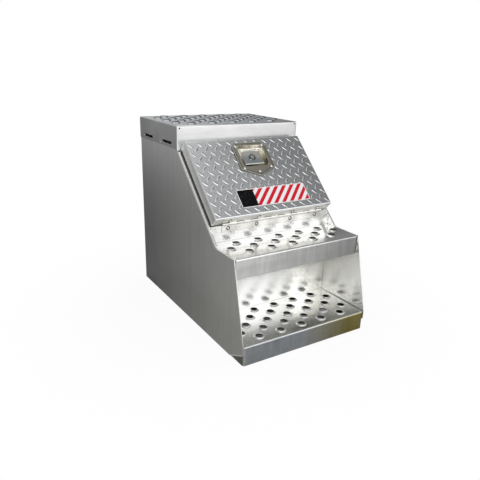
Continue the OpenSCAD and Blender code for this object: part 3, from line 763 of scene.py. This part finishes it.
def rivetShadeRings(tree, color):
    # Painted shade in a dark ring round each rivet of both leaves
    ring = 0.0
    aside = fromMiddle(tree)
    for level in (minus(tree, alongSlope(tree)[2], hinge["upperOut"]), heightAbove(tree, hinge["lowerZ"])):
        for x in hinge["rivetsX"]:
            far = minus(tree, aside, x)
            reach = mathNode(tree, "SQRT", plus(tree, times(tree, far, far), times(tree, level, level)))
            ring = larger(tree, ring, spread(tree, reach, hinge["ringOut"], hinge["ringIn"]))
    return mixColor(tree, ring, color, hinge["ring"])


def hingeColor(tree):
    return rivetShadeRings(tree, hinge["lower"])


# Painted light: the door's leaf lighter than the body's leaf
def hingeUpperColor(tree):
    return rivetShadeRings(tree, hinge["upper"])


# The side panels, whose wings stand beside the steps
wings = {
    "back": (0.58, 0.585, 0.585),
    "backLow": (0.39, 0.393, 0.395),
    "front": (0.96, 0.965, 0.94),
    "frontLow": (0.68, 0.685, 0.645),
    "frontFade": (0.34, -0.26),
    "lowFade": (0.45, 0.1),
    "cutHighlight": (0.98, 0.98, 0.97),
    "cutFade": (1.10, 1.05),
    "cutFacing": 0.9,
    "inside": (0.98, 0.975, 0.945),
    "insideRough": 0.24,
    "insideFrom": (0.0016, 0.0004),
    "finish": {"rough": 0.40, "stretch": (1, 1, 0.012), "grain": 0.34, "clouds": 0.28, "cloudSize": 4.5,
               "scratch": 0.10, "edge": 0.7},
}


def insideMask(tree):
    return spread(tree, fromMiddle(tree), *(box["innerX"] + beyond for beyond in wings["insideFrom"]))


def sideColor(tree):
    # Painted reflection: darker to the back and low down outside, and brighter inside the wings, where the
    # polished steps throw their light
    low = placeAlong(tree, "Z", *wings["lowFade"])
    back = mixColor(tree, low, wings["back"], wings["backLow"])
    front = mixColor(tree, low, wings["front"], wings["frontLow"])
    outside = fadeColor(tree, "Y", wings["frontFade"], back, front)
    # Painted highlight along the clipped lower front corner, and on the cut front edge
    place = splitAxes(tree, objectCoords(tree))
    run = mathNode(tree, "DIVIDE", minus(tree, place["Y"], box["frontY"]), box["clipY"])
    past = plus(tree, run, mathNode(tree, "DIVIDE", place["Z"], box["clipZ"]))
    outside = mixColor(tree, spread(tree, past, *wings["cutFade"]), outside, wings["cutHighlight"])
    outside = mixColor(tree, facingMask(tree, "Y", -1, wings["cutFacing"]), outside, wings["cutHighlight"])
    return mixColor(tree, insideMask(tree), outside, wings["inside"])


def sideRough(tree):
    return mixNumber(tree, insideMask(tree), wings["finish"]["rough"], wings["insideRough"])


rubber = {
    "sealRubber": ((0.018, 0.018, 0.019), 0.62),  # color and roughness
    "gasketRubber": ((0.02, 0.02, 0.021), 0.7),
    "grain": (900.0, 2.0),
    "grainFade": (0.3, 0.7),
    "roughSpan": 0.08,
    "dust": (30.0, 4.0),
    "dustFade": (0.45, 0.75, 0.0, 0.35),
    "dustGain": 2.6,
    "bump": 0.2,
    "bumpDepth": 0.0003,
}


def rubberMaterial(name):
    material, tree, shader = newMaterial(name)
    color, rough = rubber[name]
    coords = objectCoords(tree)
    grain = noise(tree, coords, *rubber["grain"])
    dusty = spread(tree, noise(tree, coords, *rubber["dust"]), *rubber["dustFade"])
    dust = tuple(v * rubber["dustGain"] for v in color)
    plug(tree, mixColor(tree, dusty, color, dust), shader.inputs["Base Color"])
    span = rubber["roughSpan"]
    rough = spread(tree, grain, *rubber["grainFade"], rough - span, rough + span)
    plug(tree, rough, shader.inputs["Roughness"])
    addBump(tree, shader, grain, rubber["bump"], rubber["bumpDepth"])
    return material


ownMaterials = {
    "wingSheet": (wings["finish"], sideColor, sideRough),
    "wallSheet": (frontWall["finish"], wallColor),
    "topStep": (cap["finish"], capColor, treadRough, capEdge),
    "middleStep": (steps["finish"], middleColor, treadRough, middleEdge),
    "lowerStep": (steps["finish"], lowerColor, lowerRough, lowerEdge),
    "diamondPlate": (plate["finish"], plateColor, plateRough),
    "latchSteel": (latch["finish"], latchColor, latchRough),
    "paddleSteel": (paddle["finish"], paddleColor),
    "hingeSteel": (hinge["finish"], hingeColor),
    "hingeUpper": (hinge["upperFinish"], hingeUpperColor),
}
materials = {name: metalMaterial(name, finish) for name, finish in finishes.items()}
materials.update({name: metalMaterial(name, *parts) for name, parts in ownMaterials.items()})
materials.update({name: rubberMaterial(name) for name in ("sealRubber", "gasketRubber")})

finishOf = {
    "wingSheet": ["left_side_panel", "right_side_panel", "back_panel"],
    "innerSheet": ["floor_pan", "door_frame"],
    "wallSheet": ["front_wall"],
    "topStep": ["top_step"],
    "middleStep": ["middle_step"],
    "lowerStep": ["lower_step"],
    "diamondPlate": ["door_skin"],
    "hingeSteel": ["hinge_body_leaf", "hinge_pin"],
    "hingeUpper": ["hinge_door_leaf"],
    "latchSteel": ["latch_dish", "lock_catch"],
    "paddleSteel": ["paddle", "paddle_pin"],
    "rivetAlloy": ["skirt_rivets", "strike_rivets", "hinge_body_rivets", "hinge_door_rivets"],
    "latchRivet": ["latch_rivets"],
    "lockRing": ["lock_barrel"],
    "lockChrome": ["lock_plug"],
    "platedSteel": ["strike_plate", "bolt_housing", "bolt_spring", "lock_nut", "lock_cam", "latch_bolt"],
    "sealRubber": ["door_seal"],
    "gasketRubber": ["latch_gasket"],
}
for finishName, nodeNames in finishOf.items():
    for nodeName in nodeNames:
        slots = nodes[nodeName].material_slots
        for slot in slots:
            slot.material = materials[finishName]
        if not slots:
            nodes[nodeName].data.materials.append(materials[finishName])
print("materials on all nodes")


# Pieces that the solids leave to the scene
def meshObject(name, verts, faces, material, smooth=False):
    mesh = bpy.data.meshes.new(name)
    mesh.from_pydata([tuple(v) for v in verts], [], faces)
    mesh.update()
    if smooth:
        mesh.shade_smooth()
    mesh.materials.append(material)
    return addObject(name, mesh)


def tubeFaces(first, rings, sides):
    # Quads from ring to ring of points, and a cap at both ends
    faces = []
    for i in range(rings):
        for k in range(sides):
            a, b = first + i * sides + k, first + i * sides + (k + 1) % sides
            faces.append((a, b, b + sides, a + sides))
    faces.append(tuple(first + k for k in reversed(range(sides))))
    faces.append(tuple(first + rings * sides + k for k in range(sides)))
    return faces


weldBead = {
    "radius": 0.0019,
    "pitch": 0.0020,
    "ripple": 0.22,
    "uneven": (0.94, 1.05),
    "sides": 10,
    "ringsPerPuddle": 4,
    "leastRings": 6,
    "endSize": 0.25,
    "endTaper": 8,
    "proud": 0.0006,
    "lipRuns": ((0.008, 0.024), (0.033, 0.049)),  # below the middle tread
    "treadRuns": ((-0.24, "midZ"), (-0.19, "midZ"), (-0.32, "lowZ"), (-0.22, "lowZ")),  # start, and its tread
    "treadDrop": 0.0035,
    "treadRun": 0.022,
    "cornerShift": (0.0010, -0.0004, -0.0007),
    "cornerRun": (0.004, 0.070),
    "seed": 5,
}


def weldLines():
    lines = []
    clip = Vector((0, box["clipY"], -box["clipZ"])).normalized()
    aside, ahead, above = weldBead["cornerShift"]
    for side in (-1, 1):
        x = side * (box["innerX"] - weldBead["proud"])
        lipY = box["midY"] - weldBead["proud"]
        for high, low in weldBead["lipRuns"]:
            lines.append((Vector((x, lipY, box["midZ"] - low)), Vector((x, lipY, box["midZ"] - high))))
        # Along the clipped corner, where the side is joined to the lower step's end
        corner = Vector((side * (box["innerX"] + aside), box["frontY"] + ahead, box["clipZ"] + above))
        lines.append(tuple(corner + clip * along for along in weldBead["cornerRun"]))
        for y, tread in weldBead["treadRuns"]:
            z = box[tread] - weldBead["treadDrop"]
            lines.append((Vector((x, y, z)), Vector((x, y + weldBead["treadRun"], z))))
    return lines


def buildWelds(lines):
    # Overlapping puddles along each line, as a stitch weld leaves them
    rng = random.Random(weldBead["seed"])
    sides = weldBead["sides"]
    verts, faces = [], []
    for start, end in lines:
        line = end - start
        rings = int(line.length / weldBead["pitch"] * weldBead["ringsPerPuddle"])
        rings = max(weldBead["leastRings"], rings)
        tangent = line.normalized()
        side = tangent.orthogonal().normalized()
        up = tangent.cross(side)
        faces += tubeFaces(len(verts), rings, sides)
        for i in range(rings + 1):
            t = i / rings
            taper = min(1.0, weldBead["endTaper"] * min(t, 1 - t) + weldBead["endSize"])
            phase = t * line.length / weldBead["pitch"]
            ripple = 1 - weldBead["ripple"] * (phase % 1.0)
            radius = weldBead["radius"] * taper * ripple * rng.uniform(*weldBead["uneven"])
            for k in range(sides):
                turn = 2 * math.pi * k / sides
                verts.append(start + line * t + (side * math.cos(turn) + up * math.sin(turn)) * radius)
    return meshObject("stitchWelds", verts, faces, materials["latchRivet"], smooth=True)


stitches = weldLines()
welds = buildWelds(stitches)
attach(welds, "box")
print("weld beads:", len(stitches))


gasket = {
    "proud": 0.0011,
    "tuck": 0.0005,
    "levels": (0.0400, 0.0400, 0.0409, 0.0414, 0.0414),
}


def buildGasketBead():
    # The gasket is squeezed out a little all round the latch's plate
    proud, tuck = gasket["proud"], gasket["tuck"]
    grows = (-tuck, proud, proud, proud / 2, -tuck)
    rings, corners = len(grows), len(latchPlan(0))
    verts, faces = [], []
    for grow, level in zip(grows, gasket["levels"]):
        verts += [onSlope(x, up, level) for x, up in latchPlan(grow)]
    for ring in range(rings):
        here, there = ring * corners, (ring + 1) % rings * corners
        for k in range(corners):
            after = (k + 1) % corners
            faces.append((here + k, there + k, there + after, here + after))
    return meshObject("gasketBead", verts, faces, materials["gasketRubber"])


bead = buildGasketBead()
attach(bead, "door")
print("gasket bead laid")


spring = {
    "foot": 0.2539,
    "out": -0.0093,
    "length": 0.0296,
    "radius": 0.0036,
    "wire": 0.0006,
    "turns": 8,
    "perTurn": 24,
    "sides": 8,
    "closed": 0.06,
    "shut": 0.52,
}


def buildSpring():
    # The bolt's spring, its end coils closed
    count, sides, wire = spring["turns"] * spring["perTurn"], spring["sides"], spring["wire"]
    verts = []
    for i in range(count + 1):
        t = i / count
        risen = min(1.0, max(0.0, (t - spring["closed"]) / (1 - 2 * spring["closed"])))
        height = spring["foot"] + wire + risen * (spring["length"] - 2 * wire)
        turn = 2 * math.pi * spring["turns"] * t
        for k in range(sides):
            around = 2 * math.pi * k / sides
            radius = spring["radius"] + wire * math.cos(around)
            verts.append(onSlope(radius * math.cos(turn), height + wire * math.sin(around),
                                 spring["out"] - radius * math.sin(turn)))
    return meshObject("boltSpring", verts, tubeFaces(0, count, sides), materials["platedSteel"], smooth=True)


coil = buildSpring()
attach(coil, "door")
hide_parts("bolt_spring")
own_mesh(coil)
print("spring wound")


signPlate = {
    "centreX": 0.012,
    "centreUp": 0.125,
    "width": 0.254,
    "height": 0.063,
    "corner": 0.006,
    "cornerParts": 6,
    "thickness": 0.0008,
    "bevel": 0.0003,
    "bevelFrom": 0.7,
    "above": 0.00002,
    "border": 0.0022,
    "stripe": 0.030,
    "redShare": 0.5,
    "darkEnd": 0.058,
    "red": (0.62, 0.012, 0.03),
    "white": (0.86, 0.86, 0.86),
    "dark": (0.004, 0.004, 0.005),
    "specular": 0.08,
    "wearColor": (0.5, 0.5, 0.5),
    "wearNoise": (120.0, 4.0),
    "wear": (0.5, 0.9, 0.0, 0.06),
    "rough": (0.3, 0.7, 0.26, 0.38),
    "bumpNoise": (60.0, 2.0),
    "bump": 0.08,
    "bumpDepth": 0.0004,
}


def signMaterial():
    # Slanted safety stripes in a plain border, and a dark end
    material, tree, shader = newMaterial("signStripes")
    coords = objectCoords(tree)
    across, up, _ = alongSlope(tree)
    across = minus(tree, across, signPlate["centreX"])
    up = minus(tree, up, signPlate["centreUp"])
    slant = mathNode(tree, "DIVIDE", minus(tree, across, up), signPlate["stripe"])
    stripe = mathNode(tree, "GREATER_THAN", mathNode(tree, "FRACT", slant), 1 - signPlate["redShare"])
    field = mixColor(tree, stripe, signPlate["white"], signPlate["red"])
    end = mathNode(tree, "LESS_THAN", across, signPlate["darkEnd"] - signPlate["width"] / 2)
    field = mixColor(tree, end, field, signPlate["dark"])
    inX, inUp = (mathNode(tree, "LESS_THAN", absolute(tree, place), size / 2 - signPlate["border"])
                 for place, size in ((across, signPlate["width"]), (up, signPlate["height"])))
    field = mixColor(tree, times(tree, inX, inUp), signPlate["white"], field)
    wear = noise(tree, coords, *signPlate["wearNoise"])
    field = mixColor(tree, spread(tree, wear, *signPlate["wear"]), field, signPlate["wearColor"])
    plug(tree, field, shader.inputs["Base Color"])
    plug(tree, spread(tree, wear, *signPlate["rough"]), shader.inputs["Roughness"])
    shader.inputs["Specular IOR Level"].default_value = signPlate["specular"]
    waves = noise(tree, coords, *signPlate["bumpNoise"])
    addBump(tree, shader, waves, signPlate["bump"], signPlate["bumpDepth"])
    return material


def signOutline():
    points, corner = [], signPlate["corner"]
    for cx, cy, first in ((1, 1, 0), (-1, 1, 90), (-1, -1, 180), (1, -1, 270)):
        for k in range(signPlate["cornerParts"] + 1):
            turn = math.radians(first + 90 * k / signPlate["cornerParts"])
            points.append((cx * (signPlate["width"] / 2 - corner) + corner * math.cos(turn),
                           cy * (signPlate["height"] / 2 - corner) + corner * math.sin(turn)))
    return points


def buildSignPlate():
    # A thin plate with a small bevel round its face
    outline = signOutline()
    low, thickness = box["lugTop"] + signPlate["above"], signPlate["thickness"]
    verts = []
    for level, inward in ((low, 0.0), (low + thickness * signPlate["bevelFrom"], 0.0),
                          (low + thickness, signPlate["bevel"])):
        scaleX = 1 - 2 * inward / signPlate["width"]
        scaleY = 1 - 2 * inward / signPlate["height"]
        verts += [onSlope(signPlate["centreX"] + x * scaleX, signPlate["centreUp"] + y * scaleY, level)
                  for x, y in outline]
    return meshObject("signPlate", verts, tubeFaces(0, 2, len(outline)), signMaterial())


sign = buildSignPlate()
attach(sign, "door")
print("sign plate laid on the lugs")


# Studio
studio = {
    "floorRadius": 3.5,
    "floorSides": 96,
    "floorZ": -0.0005,
    "floorNear": (0.38, 0.38, 0.377),
    "floorFar": (0.78, 0.78, 0.78),
    "farFade": (0.4, 2.2),
    "floorBehind": (0.17, 0.17, 0.17),
    "behindFade": (-0.4, 1.0),
    "glow": (0.42, 0.9, 0.91, 1.0),
    "underX": (0.225, 0.19),
    "underY": (0.352, 0.31),
    "ambient": 0.60,
    "mirrorLeft": 0.48,
    "mirrorRight": 0.20,
    "mirrorAside": (0.36, 0.66),
    "mirrorFront": 1.15,
    "mirrorAhead": (-0.3, -0.75),
    "aim": (0, 0, 0.3),
    "lamps": [  # name, place, size, power
        ("keyLamp", (-0.9, -2.3, 1.7), 1.3, 19),
        ("fillLamp", (1.6, -1.6, 1.2), 1.6, 5),
        ("topLamp", (0.0, 0.6, 2.6), 2.0, 10),
    ],
}


def buildWorld():
    world = bpy.data.worlds.new("studioWorld")
    bpy.context.scene.world = world
    world.use_nodes = True
    tree = world.node_tree
    path = newNode(tree, "ShaderNodeLightPath").outputs
    mirror = larger(tree, path["Is Glossy Ray"], path["Is Transmission Ray"])
    # What metal reflects is whitest in front, and elsewhere it falls off to the right
    way = splitAxes(tree, newNode(tree, "ShaderNodeTexCoord").outputs["Generated"])
    aside = spread(tree, way["X"], *studio["mirrorAside"], studio["mirrorLeft"], studio["mirrorRight"],
                   smooth=True)
    lit = spread(tree, way["Y"], *studio["mirrorAhead"], aside, studio["mirrorFront"], smooth=True)
    amount = mixNumber(tree, mirror, studio["ambient"], lit)
    background = tree.nodes["Background"]
    background.inputs["Color"].default_value = (1, 1, 1, 1)
    plug(tree, larger(tree, amount, path["Is Camera Ray"]), background.inputs["Strength"])


def floorTone(tree, reach, place):
    # What the object sees of the floor, with painted shade: darker near it and behind it
    tone = mixColor(tree, spread(tree, reach, *studio["farFade"]), studio["floorNear"], studio["floorFar"])
    behind = spread(tree, place["Y"], *studio["behindFade"], smooth=True)
    return mixColor(tree, behind, tone, studio["floorBehind"])


def floorGlow(tree, reach, place):
    # White paper to the eye, which keeps the shadow near the object and all of it underneath
    under = times(tree, *(spread(tree, absolute(tree, place[axis]), *studio["under" + axis])
                          for axis in ("X", "Y")))
    return times(tree, spread(tree, reach, *studio["glow"]), minus(tree, 1.0, under))


def mixShaders(tree, factor, first, second):
    node = newNode(tree, "ShaderNodeMixShader")
    for socket, source in zip(node.inputs, (factor, first, second)):
        plug(tree, source, socket)
    return node.outputs[0]


def floorMaterial():
    material, tree, shader = newMaterial("floorPaper")
    coords = objectCoords(tree)
    place = splitAxes(tree, coords)
    reach = vectorNode(tree, "LENGTH", coords, (0, 0, 0)).outputs["Value"]
    toned = newNode(tree, "ShaderNodeBsdfDiffuse")
    plug(tree, floorTone(tree, reach, place), toned.inputs["Color"])
    paper = newNode(tree, "ShaderNodeBsdfDiffuse")
    paper.inputs["Color"].default_value = (1, 1, 1, 1)
    glow = newNode(tree, "ShaderNodeEmission")
    glow.inputs["Strength"].default_value = 1.0
    white = mixShaders(tree, floorGlow(tree, reach, place), paper.outputs[0], glow.outputs[0])
    eye = newNode(tree, "ShaderNodeLightPath").outputs["Is Camera Ray"]
    output = next(node for node in tree.nodes if node.type == "OUTPUT_MATERIAL")
    plug(tree, mixShaders(tree, eye, toned.outputs[0], white), output.inputs["Surface"])
    tree.nodes.remove(shader)
    return material


def buildFloor():
    mesh = bmesh.new()
    bmesh.ops.create_circle(mesh, cap_ends=True, segments=studio["floorSides"], radius=studio["floorRadius"])
    data = bpy.data.meshes.new("floor")
    mesh.to_mesh(data)
    mesh.free()
    data.materials.append(floorMaterial())
    floor = addObject("floor", data)
    floor.location = (0, 0, studio["floorZ"])


def buildLamps():
    for name, place, size, power in studio["lamps"]:
        data = bpy.data.lights.new(name, "AREA")
        data.shape = "SQUARE"
        data.size = size
        data.energy = power
        lamp = addObject(name, data)
        lamp.location = place
        lamp.rotation_euler = (Vector(studio["aim"]) - Vector(place)).to_track_quat("-Z", "Y").to_euler()


buildWorld()
buildFloor()
buildLamps()
print("studio ready")
